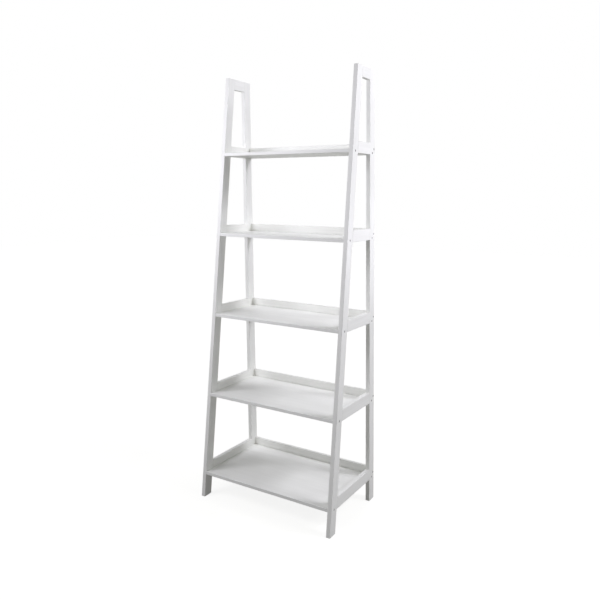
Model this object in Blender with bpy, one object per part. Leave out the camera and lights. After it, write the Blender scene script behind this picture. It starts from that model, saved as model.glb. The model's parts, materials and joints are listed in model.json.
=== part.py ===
"""Ladder bookcase: two raked side frames, five shelf boards, five back rails and the screws."""

import math

import bmesh
import bpy
from mathutils import Matrix, Vector

for item in list(bpy.data.objects):
    bpy.data.objects.remove(item, do_unlink=True)

# Driving dimensions, in metres. X runs across, Y runs to the back and Z up from the floor.
WIDTH = 0.610
HEIGHT = 1.732

# Depth over both legs at the floor and at the top, and how far the back legs lean in.
FLOOR_DEPTH = 0.3760
TOP_DEPTH = 0.1446
BACK_LEAN = 0.0660

# Timber of the side frames.
FRAME_THICK = 0.0170
LEG_WIDTH = 0.0410
RAIL_HEIGHT = 0.0440
TOP_RAIL_HEIGHT = 0.0425

# The top shelf's underside hangs below the top, the lowest one's stands above the floor.
SHELF_COUNT = 5
TOP_SHELF_DROP = 0.3225
LOW_SHELF_RISE = 0.0915
BOARD_THICK = 0.0130

# How far the shelves between them lie below an even spacing.
SHELF_2_DROP = 0.0005
SHELF_3_DROP = 0.0040
SHELF_4_DROP = 0.0040

# Clearance where two pieces meet, and the radii of the eased edges.
GAP = 0.0003
EASE = 0.0010
NOSE_EASE = 0.0013
EASE_STEPS = 2
NOSE_STEPS = 3
ROUND_PROFILE = 0.5

# Two glued dowels stand on each end of a side rail.
DOWEL_RADIUS = 0.0040
DOWEL_REACH = 0.0150
DOWEL_SPREAD = 0.0090
DOWEL_ROOT = 0.0040
DOWEL_SIDES = 10

# Countersunk screw with a six-sided socket.
SCREW_LENGTH = 0.0500
SCREW_SIDES = 12
HEAD_RADIUS = 0.0043
HEAD_SINK = 0.0003
HEAD_RIM = 0.0005
HEAD_CONE = 0.0024
SHANK_RADIUS = 0.0022
TIP_LENGTH = 0.0050
TIP_RADIUS = 0.0007
SOCKET_RADIUS = 0.0023
SOCKET_DEPTH = 0.0022

# How far a cutter reaches past the face it opens.
OVERCUT = 0.0010

# Edges that turn by more than this stay crisp in smooth shading.
CRISP_ANGLE = math.radians(50)

# Surface colours.
WHITE_PAINT = (0.82, 0.82, 0.80, 1.0)
ZINC_STEEL = (0.56, 0.56, 0.54, 1.0)

# Derived dimensions.
HALF_WIDTH = WIDTH / 2
INNER_HALF = HALF_WIDTH - FRAME_THICK
FRONT_RAKE = (FLOOR_DEPTH - TOP_DEPTH - BACK_LEAN) / HEIGHT
BACK_RAKE = BACK_LEAN / HEIGHT
FRONT_RUN = LEG_WIDTH * math.hypot(1.0, FRONT_RAKE)
BACK_RUN = LEG_WIDTH * math.hypot(1.0, BACK_RAKE)
SIDES = (("left", -1), ("right", 1))
SHELF_DROPS = {2: SHELF_2_DROP, 3: SHELF_3_DROP, 4: SHELF_4_DROP}


def front_y(z):
    """Front face of the front legs at a height."""
    return -FLOOR_DEPTH / 2 + FRONT_RAKE * z


def back_y(z):
    """Back face of the back legs at a height."""
    return FLOOR_DEPTH / 2 - BACK_RAKE * z


def shelf_levels():
    """Number and underside of each shelf, from the top one down."""
    highest = HEIGHT - TOP_SHELF_DROP
    pitch = (highest - LOW_SHELF_RISE) / (SHELF_COUNT - 1)
    levels = []
    for step in range(SHELF_COUNT):
        number = step + 1
        levels.append((number, highest - step * pitch - SHELF_DROPS.get(number, 0.0)))
    return levels


def painted(name, colour, metallic, roughness):
    """One material for one piece."""
    material = bpy.data.materials.new(name)
    material.use_nodes = True
    shader = material.node_tree.nodes["Principled BSDF"]
    shader.inputs["Base Color"].default_value = colour
    shader.inputs["Metallic"].default_value = metallic
    shader.inputs["Roughness"].default_value = roughness
    return material


def add_object(name, bm):
    """A named object from a closed mesh, its faces turned outwards."""
    bmesh.ops.recalc_face_normals(bm, faces=bm.faces)
    mesh = bpy.data.meshes.new(name)
    bm.to_mesh(mesh)
    bm.free()
    obj = bpy.data.objects.new(name, mesh)
    bpy.context.scene.collection.objects.link(obj)
    return obj


def combine(obj, tool, operation):
    """Join a tool mesh to an object or cut it away, then drop the tool."""
    modifier = obj.modifiers.new("combine", "BOOLEAN")
    modifier.operation = operation
    modifier.solver = "EXACT"
    modifier.object = tool
    graph = bpy.context.evaluated_depsgraph_get()
    result = bpy.data.meshes.new_from_object(obj.evaluated_get(graph))
    obj.modifiers.clear()
    obj.data = result
    result.name = obj.name
    bpy.data.objects.remove(tool, do_unlink=True)


def prism(x_low, x_high, outline):
    """A solid with a four-sided outline in the YZ plane, and its corner vertices."""
    bm = bmesh.new()
    near = [bm.verts.new((x_low, y, z)) for y, z in outline]
    far = [bm.verts.new((x_high, y, z)) for y, z in outline]
    bm.faces.new(near)
    bm.faces.new(far)
    count = len(outline)
    for i in range(count):
        j = (i + 1) % count
        bm.faces.new((near[i], near[j], far[j], far[i]))
    return bm, near, far


def ease(bm, pairs, radius, steps):
    """Round the edges between the given pairs of vertices."""
    edges = [bm.edges.get(pair) for pair in pairs]
    bmesh.ops.bevel(
        bm,
        geom=edges,
        offset=radius,
        offset_type="OFFSET",
        segments=steps,
        profile=ROUND_PROFILE,
        affect="EDGES",
    )


def rings(bm, centre, axis, profile, sides, phase=0.0):
    """Stacked rings about an axis, given as pairs of distance along it and radius."""
    turn = Vector((0.0, 0.0, 1.0)).rotation_difference(axis).to_matrix()
    made = []
    for along, radius in profile:
        ring = []
        for i in range(sides):
            angle = phase + 2 * math.pi * i / sides
            local = Vector((radius * math.cos(angle), radius * math.sin(angle), along))
            ring.append(bm.verts.new(centre + turn @ local))
        made.append(ring)
    return made


def sleeve(bm, first, second):
    """Faces between two rings."""
    count = len(first)
    for i in range(count):
        j = (i + 1) % count
        bm.faces.new((first[i], first[j], second[j], second[i]))


def rod(bm, centre, axis, profile, sides):
    """A closed turned body about an axis."""
    made = rings(bm, centre, axis, profile, sides)
    for first, second in zip(made, made[1:]):
        sleeve(bm, first, second)
    bm.faces.new(made[0])
    bm.faces.new(made[-1])


def dowel_places(low, high):
    """Centre and outward direction of the dowels on the two ends of a rail."""
    middle = (low + high) / 2
    front_axis = Vector((0.0, -1.0, FRONT_RAKE)).normalized()
    back_axis = Vector((0.0, 1.0, BACK_RAKE)).normalized()
    places = []
    for z in (middle - DOWEL_SPREAD, middle + DOWEL_SPREAD):
        places.append((front_y(z) + FRONT_RUN, z, front_axis, "front"))
        places.append((back_y(z) - BACK_RUN, z, back_axis, "back"))
    return places


def screw_places(underside):
    """Where the three screws of a shelf's end stand: name, Y and Z."""
    board_middle = underside + BOARD_THICK / 2
    rail_middle = underside + RAIL_HEIGHT / 2
    return (
        ("front", front_y(board_middle) + FRONT_RUN / 2, board_middle),
        ("back", back_y(board_middle) - BACK_RUN / 2, board_middle),
        ("rail", back_y(rail_middle) - BOARD_THICK / 2, rail_middle),
    )


def countersink(bm, side, y, z):
    """Clearance for one screw through the frame, from its outer face inwards."""
    rim = HEAD_SINK + HEAD_RIM
    profile = (
        (-OVERCUT, HEAD_RADIUS + GAP),
        (rim + GAP, HEAD_RADIUS + GAP),
        (rim + HEAD_CONE + GAP, SHANK_RADIUS + GAP),
        (FRAME_THICK + OVERCUT, SHANK_RADIUS + GAP),
    )
    centre = Vector((side * HALF_WIDTH, y, z))
    rod(bm, centre, Vector((-side, 0.0, 0.0)), profile, SCREW_SIDES)


def pilot(bm, side, y, z):
    """Clearance for the part of a screw that stands in a board's end."""
    profile = (
        (FRAME_THICK - OVERCUT, SHANK_RADIUS + GAP),
        (SCREW_LENGTH - TIP_LENGTH + GAP, SHANK_RADIUS + GAP),
        (SCREW_LENGTH + 2 * GAP, TIP_RADIUS + GAP),
    )
    centre = Vector((side * HALF_WIDTH, y, z))
    rod(bm, centre, Vector((-side, 0.0, 0.0)), profile, SCREW_SIDES)


def rail_levels():
    """Name, underside and height of each side rail."""
    levels = [("top", HEIGHT - TOP_RAIL_HEIGHT, TOP_RAIL_HEIGHT)]
    for number, underside in shelf_levels():
        levels.append((str(number), underside, RAIL_HEIGHT))
    return levels


def make_leg(name, side, end):
    """A raked leg with its dowel sockets and countersunk screw holes."""
    if end == "front":
        outline = (
            (front_y(0.0), 0.0),
            (front_y(0.0) + FRONT_RUN, 0.0),
            (front_y(HEIGHT) + FRONT_RUN, HEIGHT),
            (front_y(HEIGHT), HEIGHT),
        )
        screw_names = ("front",)
    else:
        outline = (
            (back_y(0.0) - BACK_RUN, 0.0),
            (back_y(0.0), 0.0),
            (back_y(HEIGHT), HEIGHT),
            (back_y(HEIGHT) - BACK_RUN, HEIGHT),
        )
        screw_names = ("back", "rail")
    x_low, x_high = sorted((side * INNER_HALF, side * HALF_WIDTH))
    bm, near, far = prism(x_low, x_high, outline)
    pairs = [(near[i], near[(i + 1) % 4]) for i in range(4)]
    pairs += [(far[i], far[(i + 1) % 4]) for i in range(4)]
    pairs += [(near[i], far[i]) for i in range(4)]
    ease(bm, pairs, EASE, EASE_STEPS)
    leg = add_object(name, bm)

    tool = bmesh.new()
    middle_x = side * (HALF_WIDTH - FRAME_THICK / 2)
    for _, underside, height in rail_levels():
        for y, z, axis, which in dowel_places(underside, underside + height):
            if which == end:
                profile = (
                    (-OVERCUT, DOWEL_RADIUS + GAP),
                    (DOWEL_REACH + GAP, DOWEL_RADIUS + GAP),
                )
                rod(tool, Vector((middle_x, y, z)), axis, profile, DOWEL_SIDES)
    for _, underside in shelf_levels():
        for which, y, z in screw_places(underside):
            if which in screw_names:
                countersink(tool, side, y, z)
    combine(leg, add_object(name + "_holes", tool), "DIFFERENCE")
    return leg


def make_side_rail(name, side, underside, height):
    """A rail between the legs of one side frame, with two dowels on each end."""
    top = underside + height
    outline = (
        (front_y(underside) + FRONT_RUN + GAP, underside),
        (back_y(underside) - BACK_RUN - GAP, underside),
        (back_y(top) - BACK_RUN - GAP, top),
        (front_y(top) + FRONT_RUN + GAP, top),
    )
    x_low, x_high = sorted((side * INNER_HALF, side * HALF_WIDTH))
    bm, near, far = prism(x_low, x_high, outline)
    pairs = [(near[0], near[1]), (near[2], near[3]), (far[0], far[1]), (far[2], far[3])]
    ease(bm, pairs, EASE, EASE_STEPS)
    rail = add_object(name, bm)

    tool = bmesh.new()
    middle_x = side * (HALF_WIDTH - FRAME_THICK / 2)
    for y, z, axis, _ in dowel_places(underside, top):
        profile = (
            (-DOWEL_ROOT, DOWEL_RADIUS),
            (DOWEL_REACH, DOWEL_RADIUS),
        )
        rod(tool, Vector((middle_x, y, z)), axis, profile, DOWEL_SIDES)
    combine(rail, add_object(name + "_dowels", tool), "UNION")
    return rail


def make_shelf(name, underside):
    """A shelf board, its front edge flush with the front legs and softly rounded."""
    top = underside + BOARD_THICK
    front = front_y(top)
    back = back_y(top) - BOARD_THICK - GAP
    outline = ((front, underside), (back, underside), (back, top), (front, top))
    reach = INNER_HALF - GAP
    bm, near, far = prism(-reach, reach, outline)
    ease(bm, [(near[0], far[0]), (near[3], far[3])], NOSE_EASE, NOSE_STEPS)
    board = add_object(name, bm)

    tool = bmesh.new()
    for _, side in SIDES:
        for which, y, z in screw_places(underside):
            if which != "rail":
                pilot(tool, side, y, z)
    combine(board, add_object(name + "_holes", tool), "DIFFERENCE")
    return board


def make_back_rail(name, underside):
    """A rail behind a shelf, flush with the sloping back faces of the legs."""
    top = underside + RAIL_HEIGHT
    outline = (
        (back_y(underside) - BOARD_THICK, underside),
        (back_y(underside), underside),
        (back_y(top), top),
        (back_y(top) - BOARD_THICK, top),
    )
    reach = INNER_HALF - GAP
    bm, near, far = prism(-reach, reach, outline)
    ease(bm, [(near[i], far[i]) for i in range(4)], EASE, EASE_STEPS)
    rail = add_object(name, bm)

    tool = bmesh.new()
    for _, side in SIDES:
        for which, y, z in screw_places(underside):
            if which == "rail":
                pilot(tool, side, y, z)
    combine(rail, add_object(name + "_holes", tool), "DIFFERENCE")
    return rail


def make_screw(name, side, y, z):
    """A countersunk screw: sunk head with a six-sided socket, plain shank and tip."""
    bm = bmesh.new()
    centre = Vector((side * HALF_WIDTH, y, z))
    axis = Vector((-side, 0.0, 0.0))
    rim = HEAD_SINK + HEAD_RIM
    outer = rings(
        bm,
        centre,
        axis,
        (
            (HEAD_SINK, HEAD_RADIUS),
            (rim, HEAD_RADIUS),
            (rim + HEAD_CONE, SHANK_RADIUS),
            (SCREW_LENGTH - TIP_LENGTH, SHANK_RADIUS),
            (SCREW_LENGTH, TIP_RADIUS),
        ),
        SCREW_SIDES,
    )
    socket = rings(
        bm,
        centre,
        axis,
        ((HEAD_SINK, SOCKET_RADIUS), (HEAD_SINK + SOCKET_DEPTH, SOCKET_RADIUS)),
        SCREW_SIDES,
    )
    # Every second vertex is drawn in to the middle of a flat, which makes the socket six-sided.
    flat = math.cos(math.pi / 6)
    for ring in socket:
        for vertex in ring[1::2]:
            hub = Vector((vertex.co.x, centre.y, centre.z))
            vertex.co = hub + (vertex.co - hub) * flat
    for first, second in zip(outer, outer[1:]):
        sleeve(bm, first, second)
    sleeve(bm, outer[0], socket[0])
    sleeve(bm, socket[0], socket[1])
    bm.faces.new(socket[1])
    bm.faces.new(outer[-1])
    return add_object(name, bm)


def finish(obj, colour, metallic, roughness):
    """Give a piece its own material and smooth shading, its origin at the centre of its box."""
    obj.data.materials.clear()
    obj.data.materials.append(painted(obj.name + "_surface", colour, metallic, roughness))
    corners = [Vector(corner) for corner in obj.bound_box]
    middle = sum(corners, Vector()) / len(corners)
    obj.data.transform(Matrix.Translation(-middle))
    obj.location = middle
    obj.data.shade_smooth()
    obj.data.set_sharp_from_angle(angle=CRISP_ANGLE)
    flats = obj.modifiers.new("flats_stay_flat", "WEIGHTED_NORMAL")
    flats.keep_sharp = True


timber = []
screws = []
for side_name, side in SIDES:
    for end in ("front", "back"):
        timber.append(make_leg(f"leg_{end}_{side_name}", side, end))
    for level, underside, height in rail_levels():
        timber.append(make_side_rail(f"side_rail_{level}_{side_name}", side, underside, height))
    for number, underside in shelf_levels():
        for which, y, z in screw_places(underside):
            screws.append(make_screw(f"screw_{which}_{number}_{side_name}", side, y, z))
for number, underside in shelf_levels():
    timber.append(make_shelf(f"shelf_{number}", underside))
    timber.append(make_back_rail(f"back_rail_{number}", underside))

for piece in timber:
    finish(piece, WHITE_PAINT, 0.0, 0.45)
for piece in screws:
    finish(piece, ZINC_STEEL, 1.0, 0.40)
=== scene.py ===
"""Studio view of a white ladder bookcase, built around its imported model."""

import json
import math

import bmesh
import bpy
from mathutils import Matrix, Vector

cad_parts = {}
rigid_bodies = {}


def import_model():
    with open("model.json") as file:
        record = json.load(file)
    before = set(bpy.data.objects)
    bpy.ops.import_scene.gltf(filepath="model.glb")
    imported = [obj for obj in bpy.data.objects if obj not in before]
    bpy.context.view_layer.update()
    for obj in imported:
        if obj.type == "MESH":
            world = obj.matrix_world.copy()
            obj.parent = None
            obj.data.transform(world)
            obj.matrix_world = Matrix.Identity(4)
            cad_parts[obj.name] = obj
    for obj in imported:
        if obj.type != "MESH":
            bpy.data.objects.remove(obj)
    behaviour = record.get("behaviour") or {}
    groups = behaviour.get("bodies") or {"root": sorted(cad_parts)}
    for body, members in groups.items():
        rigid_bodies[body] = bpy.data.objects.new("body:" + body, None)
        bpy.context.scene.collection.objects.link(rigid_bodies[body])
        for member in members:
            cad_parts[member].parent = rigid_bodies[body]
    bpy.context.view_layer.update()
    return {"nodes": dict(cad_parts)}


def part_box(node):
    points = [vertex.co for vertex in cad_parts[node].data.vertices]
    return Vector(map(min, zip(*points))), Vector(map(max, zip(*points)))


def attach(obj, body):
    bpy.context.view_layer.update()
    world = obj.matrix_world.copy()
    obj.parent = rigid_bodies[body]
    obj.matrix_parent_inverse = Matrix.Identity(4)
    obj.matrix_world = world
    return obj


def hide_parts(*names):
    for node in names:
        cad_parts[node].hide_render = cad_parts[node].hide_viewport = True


for item in list(bpy.data.objects):
    bpy.data.objects.remove(item, do_unlink=True)

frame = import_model()

# Camera, in the bookcase's own frame: metres and radians.
CAMERA_AT = Vector((1.33826, -2.09169, 1.24768))
CAMERA_YAW = 0.55206
CAMERA_PITCH = -0.08812
CAMERA_ROLL = 0.00908
IMAGE_SIDE = 600.0
FOCAL_PIXELS = 619.28
OPTICAL_ROW = 250.85
SENSOR_MM = 36.0

# Studio lamps: name, place, side of the square in metres, strength in watts.
LAMP_AIM = Vector((0.0, 0.0, 0.9))
LAMPS = (
    ("front_left", (-1.0, -1.2, 1.6), 0.8, 17.3),
    ("front_high", (-0.4, -1.4, 2.2), 0.8, 4.1),
    ("front_right_low", (1.4, -2.4, 1.2), 0.8, 11.0),
    ("right_side", (2.0, 0.0, 2.2), 0.5, 9.7),
    ("right_back", (2.0, 0.7, 2.2), 0.5, 18.9),
    ("right_far", (3.0, 0.7, 2.2), 0.5, 21.7),
    ("top_back", (0.0, 1.0, 3.2), 0.8, 17.9),
    ("back_low", (1.2, 2.4, 0.9), 0.8, 8.4),
)
LAMP_COLOUR = (0.918, 0.906, 1.0)
FILL = 0.10
FILL_COLOUR = (1, 1, 0.95, 1)
WHITE = (1, 1, 1, 1)

# Floor: what light it gives back, and where its own white fades in around the bookcase.
FLOOR_SIDE = 24.0
FLOOR_COLOUR = (0.24, 0.24, 0.215)
FLOOR_GLOW_NEAR = 0.86
FLOOR_GLOW_FAR = 0.985
FLOOR_NEAR = 0.7
FLOOR_FAR = 3.0


def make_camera():
    """A camera at the photograph's place, with its optical axis above the frame's middle."""
    data = bpy.data.cameras.new("camera")
    data.sensor_fit = "HORIZONTAL"
    data.sensor_width = SENSOR_MM
    data.lens = FOCAL_PIXELS / IMAGE_SIDE * SENSOR_MM
    data.shift_y = (OPTICAL_ROW - IMAGE_SIDE / 2) / IMAGE_SIDE
    data.clip_end = 100.0
    camera = bpy.data.objects.new("camera", data)
    ahead = Vector((
        -math.sin(CAMERA_YAW) * math.cos(CAMERA_PITCH),
        math.cos(CAMERA_YAW) * math.cos(CAMERA_PITCH),
        math.sin(CAMERA_PITCH),
    ))
    level = Vector((math.cos(CAMERA_YAW), math.sin(CAMERA_YAW), 0.0))
    upright = level.cross(ahead)
    right = math.cos(CAMERA_ROLL) * level + math.sin(CAMERA_ROLL) * upright
    up = math.cos(CAMERA_ROLL) * upright - math.sin(CAMERA_ROLL) * level
    turn = Matrix((right, up, -ahead)).transposed().to_4x4()
    camera.matrix_world = Matrix.Translation(CAMERA_AT) @ turn
    bpy.context.scene.collection.objects.link(camera)
    bpy.context.scene.camera = camera


def make_lamp(name, place, side, watts):
    """A soft square lamp that shines on the bookcase and doesn't show in the picture."""
    data = bpy.data.lights.new(name, "AREA")
    data.shape = "SQUARE"
    data.size = side
    data.energy = watts
    data.color = LAMP_COLOUR
    lamp = bpy.data.objects.new(name, data)
    lamp.location = place
    lamp.rotation_euler = (Vector(place) - LAMP_AIM).to_track_quat("Z", "Y").to_euler()
    lamp.visible_camera = False
    bpy.context.scene.collection.objects.link(lamp)


class Nodes:
    """Short calls to build one shader tree."""

    def __init__(self, tree):
        self.tree = tree
        tree.nodes.clear()

    def add(self, kind, links=None, **settings):
        """A new node with its settings made, and its inputs linked or set."""
        node = self.tree.nodes.new(kind)
        for key, value in settings.items():
            setattr(node, key, value)
        for key, value in (links or {}).items():
            socket = node.inputs[key]
            if isinstance(value, bpy.types.NodeSocket):
                self.tree.links.new(value, socket)
            else:
                socket.default_value = value
        return node

    def math(self, operation, first, second):
        """The result of one operation on two values."""
        return self.add("ShaderNodeMath", {0: first, 1: second}, operation=operation).outputs[0]

    def weighed(self, *parts):
        """The sum of some values, each times its weight."""
        total = None
        for value, weight in parts:
            part = self.math("MULTIPLY", value, weight)
            total = part if total is None else self.math("ADD", total, part)
        return total

    def ramp(self, value, low, high, start, end):
        """A value spread smoothly from start to end as the input goes from low to high."""
        links = {"Value": value, "From Min": low, "From Max": high, "To Min": start, "To Max": end}
        node = self.add("ShaderNodeMapRange", links, interpolation_type="SMOOTHSTEP")
        return node.outputs["Result"]

    def blend(self, factor, first, second):
        """A colour that goes from the first to the second as the factor goes from 0 to 1."""
        links = {0: factor, 6: first, 7: second}
        return self.add("ShaderNodeMix", links, data_type="RGBA").outputs[2]

    def noise(self, vector, scale, detail, roughness):
        """Soft noise from 0 to 1 over some coordinates."""
        links = {"Vector": vector, "Scale": scale, "Detail": detail, "Roughness": roughness}
        return self.add("ShaderNodeTexNoise", links).outputs["Fac"]

    def seen(self):
        """1 for what is seen straight, mirrored or through glass, and 0 for what lights things."""
        path = self.add("ShaderNodeLightPath").outputs
        mirrored = self.math("MAXIMUM", path["Is Camera Ray"], path["Is Glossy Ray"])
        return self.math("MAXIMUM", mirrored, path["Is Transmission Ray"])


def make_world():
    """A faint even fill on the bookcase, and plain white behind it."""
    world = bpy.data.worlds.new("studio")
    bpy.context.scene.world = world
    world.use_nodes = True
    kit = Nodes(world.node_tree)
    fill = kit.add("ShaderNodeBackground", {"Color": FILL_COLOUR, "Strength": FILL})
    white = kit.add("ShaderNodeBackground", {"Color": WHITE, "Strength": 1.0})
    mix = kit.add("ShaderNodeMixShader", {0: kit.seen(), 1: fill.outputs[0], 2: white.outputs[0]})
    kit.add("ShaderNodeOutputWorld", {"Surface": mix.outputs[0]})


def make_floor():
    """A pale floor that holds the shadow, and turns into the white backdrop further out."""
    half = FLOOR_SIDE / 2
    mesh = bpy.data.meshes.new("floor")
    corners = [(-half, -half, 0), (half, -half, 0), (half, half, 0), (-half, half, 0)]
    mesh.from_pydata(corners, [], [(0, 1, 2, 3)])
    material = bpy.data.materials.new("floor")
    material.use_nodes = True
    kit = Nodes(material.node_tree)
    place = kit.add("ShaderNodeNewGeometry").outputs["Position"]
    reach = kit.add("ShaderNodeVectorMath", {0: place}, operation="LENGTH").outputs["Value"]
    glow = kit.ramp(reach, FLOOR_NEAR, FLOOR_FAR, FLOOR_GLOW_NEAR, FLOOR_GLOW_FAR)
    shown = kit.math("MULTIPLY", kit.seen(), glow)
    white = kit.add("ShaderNodeEmission", {"Color": WHITE, "Strength": shown})
    matt = kit.add("ShaderNodeBsdfDiffuse", {"Color": (*FLOOR_COLOUR, 1)})
    both = kit.add("ShaderNodeAddShader", {0: matt.outputs[0], 1: white.outputs[0]})
    kit.add("ShaderNodeOutputMaterial", {"Surface": both.outputs[0]})
    mesh.materials.append(material)
    floor = bpy.data.objects.new("floor", mesh)
    bpy.context.scene.collection.objects.link(floor)


# White satin paint, brushed along each piece over fine-grained timber.
PAINT_LIGHT = (0.886, 0.893, 0.847, 1)
PAINT_DEEP = (0.825, 0.832, 0.785, 1)
EDGE_WORN = (0.69, 0.67, 0.63, 1)
PAINT_IOR = 1.46
SATIN_SMOOTH = 0.36
SATIN_ROUGH = 0.50
PAINT_RELIEF = 0.0005
PAINT_BUMP = 0.45

# Scales of its patterns, in waves to the metre.
MARKS_ACROSS = 260.0
MARKS_ALONG = 7.0
GRAIN_ACROSS = 26.0
GRAIN_ALONG = 2.2
CLOUD_SCALE = 6.0
STIPPLE_SCALE = 900.0

# Their shares in its tone and in its relief.
GRAIN_TONE = 0.4
CLOUD_TONE = 0.25
MARKS_TONE = 0.35
MARKS_HEIGHT = 0.6
GRAIN_HEIGHT = 0.9
STIPPLE_HEIGHT = 0.15

# Wear on its edges: reach in metres, scale of its patches, most there is, and how it dulls.
WEAR_REACH = 0.0018
WEAR_SCALE = 38.0
WEAR_MOST = 0.8
WEAR_DULLS = 0.12


def make_paint(name, along, lean=0.0):
    """Satin paint whose marks and grain run along one axis, or lean from it about X."""
    material = bpy.data.materials.new(name)
    material.use_nodes = True
    kit = Nodes(material.node_tree)
    place = kit.add("ShaderNodeTexCoord").outputs["Object"]
    if lean:
        links = {"Vector": place, "Angle": lean}
        place = kit.add("ShaderNodeVectorRotate", links, rotation_type="X_AXIS").outputs[0]

    def streaks(across, lengthwise, detail, roughness):
        scale = [across, across, across]
        scale[along] = lengthwise
        at = kit.add("ShaderNodeVectorMath", {0: place, 1: scale}, operation="MULTIPLY")
        return kit.noise(at.outputs[0], 1.0, detail, roughness)

    marks = streaks(MARKS_ACROSS, MARKS_ALONG, 3.0, 0.55)
    grain = streaks(GRAIN_ACROSS, GRAIN_ALONG, 4.0, 0.6)
    cloud = kit.noise(place, CLOUD_SCALE, 2.0, 0.5)
    stipple = kit.noise(place, STIPPLE_SCALE, 2.0, 0.5)
    tone = kit.weighed((grain, GRAIN_TONE), (cloud, CLOUD_TONE), (marks, MARKS_TONE))
    paint = kit.blend(kit.ramp(tone, 0.36, 0.62, 0.0, 1.0), PAINT_DEEP, PAINT_LIGHT)

    # Wear shows where the surface turns within a short reach, in patches.
    rounded = kit.add("ShaderNodeBevel", {"Radius": WEAR_REACH}, samples=4).outputs[0]
    true = kit.add("ShaderNodeNewGeometry").outputs["Normal"]
    likeness = kit.add("ShaderNodeVectorMath", {0: rounded, 1: true}, operation="DOT_PRODUCT")
    edge = kit.ramp(likeness.outputs["Value"], 0.80, 0.99, 1.0, 0.0)
    rub = kit.ramp(kit.noise(place, WEAR_SCALE, 4.0, 0.65), 0.50, 0.68, 0.0, WEAR_MOST)
    worn = kit.math("MULTIPLY", edge, rub)

    satin = kit.ramp(marks, 0.25, 0.75, SATIN_SMOOTH, SATIN_ROUGH)
    relief = kit.weighed(
        (marks, MARKS_HEIGHT),
        (grain, GRAIN_HEIGHT),
        (stipple, STIPPLE_HEIGHT),
    )
    bump = kit.add("ShaderNodeBump", {
        "Strength": PAINT_BUMP,
        "Distance": PAINT_RELIEF,
        "Height": relief,
    })
    shader = kit.add("ShaderNodeBsdfPrincipled", {
        "Base Color": kit.blend(worn, paint, EDGE_WORN),
        "Roughness": kit.math("ADD", satin, kit.math("MULTIPLY", worn, WEAR_DULLS)),
        "IOR": PAINT_IOR,
        "Normal": bump.outputs[0],
    })
    kit.add("ShaderNodeOutputMaterial", {"Surface": shader.outputs[0]})
    return material


# Zinc-plated steel: two tints, sheen, and the scales of its spots and turning marks.
STEEL_DULL = (0.30, 0.30, 0.29, 1)
STEEL_BRIGHT = (0.46, 0.46, 0.45, 1)
STEEL_SMOOTH = 0.32
STEEL_ROUGH = 0.52
STEEL_RELIEF = 0.00005
STEEL_BUMP = 0.3
SPOT_SCALE = 900.0
TURNING_SCALE = 2600.0


def make_steel(name):
    """Zinc-plated steel with turning marks and a little dullness."""
    material = bpy.data.materials.new(name)
    material.use_nodes = True
    kit = Nodes(material.node_tree)
    place = kit.add("ShaderNodeTexCoord").outputs["Object"]
    spots = kit.noise(place, SPOT_SCALE, 3.0, 0.6)
    marks = kit.noise(place, TURNING_SCALE, 2.0, 0.5)
    bump = kit.add("ShaderNodeBump", {
        "Strength": STEEL_BUMP,
        "Distance": STEEL_RELIEF,
        "Height": marks,
    })
    shader = kit.add("ShaderNodeBsdfPrincipled", {
        "Base Color": kit.blend(kit.ramp(spots, 0.35, 0.7, 0.0, 1.0), STEEL_DULL, STEEL_BRIGHT),
        "Metallic": 1.0,
        "Roughness": kit.ramp(marks, 0.3, 0.7, STEEL_SMOOTH, STEEL_ROUGH),
        "Normal": bump.outputs[0],
    })
    kit.add("ShaderNodeOutputMaterial", {"Surface": shader.outputs[0]})
    return material


# Side frame, in metres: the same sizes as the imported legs, with finer edges and rounder holes.
HEIGHT = 1.732
HALF_WIDTH = 0.305
FLOOR_DEPTH = 0.3760
TOP_DEPTH = 0.1446
BACK_LEAN = 0.0660
FRAME_THICK = 0.0170
LEG_WIDTH = 0.0410
EDGE_ROUND = 0.0010
EDGE_STEPS = 4
FRONT_RAKE = (FLOOR_DEPTH - TOP_DEPTH - BACK_LEAN) / HEIGHT
BACK_RAKE = BACK_LEAN / HEIGHT
FRONT_RUN = LEG_WIDTH * math.hypot(1.0, FRONT_RAKE)
BACK_RUN = LEG_WIDTH * math.hypot(1.0, BACK_RAKE)
HOLE_STEPS = 32
HOLE_OVERRUN = 0.0010
DOWEL_HOLE = 0.0043
DOWEL_DEEP = 0.0153
DOWEL_SPREAD = 0.0090
SCREW_HOLE = 0.0025
RIM_CHAMFER = 0.0002
RIM_FLARE = 0.0012

# Edges that turn more than this stay sharp, in degrees.
LEG_SHARP = 30
SCREW_SHARP = 28

# Screw, in metres: distances from its axis, and depths from the head's face inwards.
HEAD_SINK = 0.0003
HEAD_RADIUS = 0.0043
HEAD_GAP = 0.0001
RIM_CLEAR = 0.0002
HEAD_CLEAR = 0.0003
HEAD_ROUND = 0.0004
HEAD_ROUND_STEPS = 4
HEAD_RIM = 0.0005
HEAD_DEPTH = 0.0029
SHANK_RADIUS = 0.0022
SHANK_END = 0.0447
TIP_END = 0.0497
TIP_RADIUS = 0.0007
SOCKET_RADIUS = 0.0023
SOCKET_TAPER = 0.985
SOCKET_LIP = 0.00025
SOCKET_DEPTH = 0.0022
SOCKET_POINT = 0.0028
TURN_STEPS = 48

# Holes for one screw and one dowel, from outside the face inwards: depth and radius.
SCREW_HOLE_PROFILE = (
    (-HOLE_OVERRUN, HEAD_RADIUS + HEAD_GAP + RIM_FLARE),
    (RIM_CHAMFER, HEAD_RADIUS + HEAD_GAP),
    (HEAD_SINK + HEAD_RIM + RIM_CLEAR, HEAD_RADIUS + HEAD_GAP),
    (HEAD_SINK + HEAD_DEPTH + HEAD_CLEAR, SCREW_HOLE),
    (FRAME_THICK + HOLE_OVERRUN, SCREW_HOLE),
)
DOWEL_HOLE_PROFILE = ((-HOLE_OVERRUN, DOWEL_HOLE), (DOWEL_DEEP, DOWEL_HOLE))


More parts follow.
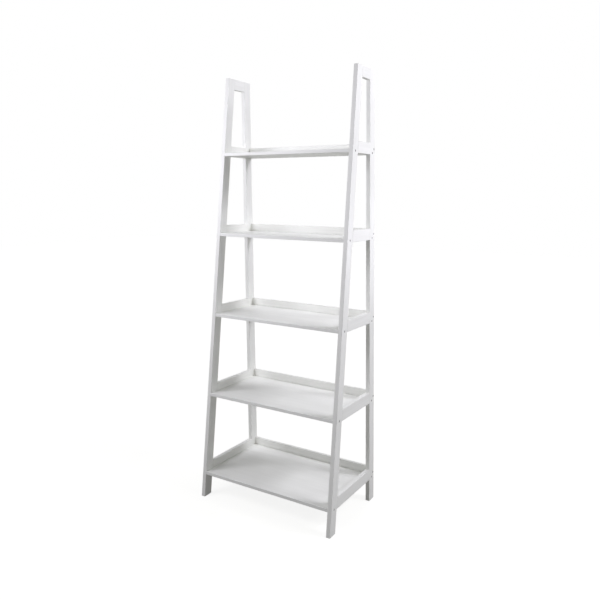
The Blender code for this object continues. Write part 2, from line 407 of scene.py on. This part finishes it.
def skin(bm, rings):
    """Faces all round between each ring of corners and the next."""
    for first, second in zip(rings, rings[1:]):
        for step in range(len(first)):
            after = (step + 1) % len(first)
            bm.faces.new((first[step], first[after], second[after], second[step]))


def turned(bm, place, axis, profile, steps):
    """A closed round body about an axis, from pairs of distance along it and radius."""
    turn = Vector((0.0, 0.0, 1.0)).rotation_difference(axis).to_matrix()
    made = []
    for along, radius in profile:
        ring = []
        for step in range(steps):
            angle = 2 * math.pi * step / steps
            local = Vector((radius * math.cos(angle), radius * math.sin(angle), along))
            ring.append(bm.verts.new(place + turn @ local))
        made.append(ring)
    skin(bm, made)
    bm.faces.new(made[0])
    bm.faces.new(made[-1])


def mesh_object(name, bm):
    """A new object with the mesh that was built, its faces pointing out."""
    bmesh.ops.recalc_face_normals(bm, faces=bm.faces)
    mesh = bpy.data.meshes.new(name)
    bm.to_mesh(mesh)
    bm.free()
    obj = bpy.data.objects.new(name, mesh)
    bpy.context.scene.collection.objects.link(obj)
    return obj


def smooth(obj, degrees):
    """Smooth shading up to an angle, with the flats kept flat."""
    obj.data.shade_smooth()
    obj.data.set_sharp_from_angle(angle=math.radians(degrees))
    flats = obj.modifiers.new("flats_stay_flat", "WEIGHTED_NORMAL")
    flats.keep_sharp = True


def leg_face(end, z):
    """Outer face and inner face of a front or back leg at a height."""
    if end == "front":
        outer = -FLOOR_DEPTH / 2 + FRONT_RAKE * z
        return outer, outer + FRONT_RUN
    outer = FLOOR_DEPTH / 2 - BACK_RAKE * z
    return outer, outer - BACK_RUN


def leg_holes(node, end, side):
    """Screw and dowel holes of one leg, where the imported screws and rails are."""
    bm = bmesh.new()
    side_name = node.rsplit("_", 1)[1]
    if end == "front":
        screws = ("screw_front",)
        inwards = Vector((0.0, -1.0, FRONT_RAKE)).normalized()
    else:
        screws = ("screw_back", "screw_rail")
        inwards = Vector((0.0, 1.0, BACK_RAKE)).normalized()
    for name in frame["nodes"]:
        low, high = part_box(name)
        if not name.endswith(side_name):
            continue
        if name.startswith(screws):
            place = Vector((side * HALF_WIDTH, (low.y + high.y) / 2, (low.z + high.z) / 2))
            turned(bm, place, Vector((-side, 0.0, 0.0)), SCREW_HOLE_PROFILE, TURN_STEPS)
        if name.startswith("side_rail"):
            middle = (low.z + high.z) / 2
            for z in (middle - DOWEL_SPREAD, middle + DOWEL_SPREAD):
                inner = leg_face(end, z)[1]
                place = Vector((side * (HALF_WIDTH - FRAME_THICK / 2), inner, z))
                turned(bm, place, inwards, DOWEL_HOLE_PROFILE, HOLE_STEPS)
    return mesh_object(node + "_holes", bm)


def make_leg(node):
    """The finer leg in an imported leg's place, with eased edges, countersinks and dowel holes."""
    _, end, side_name = node.split("_")
    side = -1 if side_name == "left" else 1
    bm = bmesh.new()
    rings = []
    for x in (side * (HALF_WIDTH - FRAME_THICK), side * HALF_WIDTH):
        ring = []
        for z, which in ((0.0, 0), (0.0, 1), (HEIGHT, 1), (HEIGHT, 0)):
            ring.append(bm.verts.new((x, leg_face(end, z)[which], z)))
        rings.append(ring)
    bm.faces.new(rings[0])
    bm.faces.new(rings[1])
    skin(bm, rings)
    bmesh.ops.bevel(
        bm,
        geom=list(bm.edges),
        offset=EDGE_ROUND,
        segments=EDGE_STEPS,
        profile=0.5,
        affect="EDGES",
    )
    leg = mesh_object(node + "_bored", bm)
    holes = leg_holes(node, end, side)
    cut = leg.modifiers.new("holes", "BOOLEAN")
    cut.solver = "EXACT"
    cut.operation = "DIFFERENCE"
    cut.object = holes
    graph = bpy.context.evaluated_depsgraph_get()
    bored = bpy.data.meshes.new_from_object(leg.evaluated_get(graph))
    leg.modifiers.clear()
    leg.data = bored
    bored.name = leg.name
    bpy.data.objects.remove(holes, do_unlink=True)
    smooth(leg, LEG_SHARP)
    return leg


def six_sided(radius):
    """Distances from the axis to a six-sided outline with its corners at the given radius."""
    sixth = math.pi / 3
    distances = []
    for step in range(TURN_STEPS):
        angle = (2 * math.pi * step / TURN_STEPS) % sixth - sixth / 2
        distances.append(radius * math.cos(sixth / 2) / math.cos(angle))
    return distances


def make_screw(node):
    """The finer screw in the place of one imported screw, its head's face turned out."""
    rows = [
        (SOCKET_DEPTH, six_sided(SOCKET_RADIUS * SOCKET_TAPER)),
        (SOCKET_LIP, six_sided(SOCKET_RADIUS)),
        (0.0, six_sided(SOCKET_RADIUS + SOCKET_LIP)),
    ]
    for step in range(HEAD_ROUND_STEPS + 1):
        turn = math.pi / 2 * step / HEAD_ROUND_STEPS
        radius = HEAD_RADIUS - HEAD_ROUND * (1 - math.sin(turn))
        rows.append((HEAD_ROUND * (1 - math.cos(turn)), [radius] * TURN_STEPS))
    for depth, radius in (
        (HEAD_RIM, HEAD_RADIUS),
        (HEAD_DEPTH, SHANK_RADIUS),
        (SHANK_END, SHANK_RADIUS),
        (TIP_END, TIP_RADIUS),
    ):
        rows.append((depth, [radius] * TURN_STEPS))
    bm = bmesh.new()
    made = []
    for depth, distances in rows:
        ring = []
        for step, distance in enumerate(distances):
            angle = 2 * math.pi * step / TURN_STEPS
            across = distance * math.cos(angle)
            ring.append(bm.verts.new((across, distance * math.sin(angle), depth)))
        made.append(ring)
    skin(bm, made)
    bottom = bm.verts.new((0.0, 0.0, SOCKET_POINT))
    for step in range(TURN_STEPS):
        bm.faces.new((made[0][(step + 1) % TURN_STEPS], made[0][step], bottom))
    bm.faces.new(made[-1])
    screw = mesh_object(node + "_turned", bm)
    low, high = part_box(node)
    outer, facing = (low.x, math.pi / 2) if low.x < 0 else (high.x, -math.pi / 2)
    screw.location = (outer, (low.y + high.y) / 2, (low.z + high.z) / 2)
    screw.rotation_euler = (0.0, facing, 0.0)
    smooth(screw, SCREW_SHARP)
    return screw


def stand_for(piece, node, material):
    """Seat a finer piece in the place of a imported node."""
    piece.data.materials.clear()
    piece.data.materials.append(material)
    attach(piece, "root")
    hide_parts(node)


bpy.context.scene.view_settings.view_transform = "Standard"
make_camera()
for row in LAMPS:
    make_lamp(*row)
make_world()
make_floor()

paints = {
    "shelf": make_paint("white_paint_shelf", 0),
    "back_rail": make_paint("white_paint_back_rail", 0),
    "side_rail": make_paint("white_paint_side_rail", 1),
    "leg_front": make_paint("white_paint_front_leg", 2, math.atan(FRONT_RAKE)),
    "leg_back": make_paint("white_paint_back_leg", 2, -math.atan(BACK_RAKE)),
}
steel = make_steel("screw_steel")
for name, node in frame["nodes"].items():
    if name.startswith("screw"):
        stand_for(make_screw(name), name, steel)
        continue
    paint = next(paints[start] for start in paints if name.startswith(start))
    if name.startswith("leg"):
        stand_for(make_leg(name), name, paint)
    else:
        node.data.materials.clear()
        node.data.materials.append(paint)
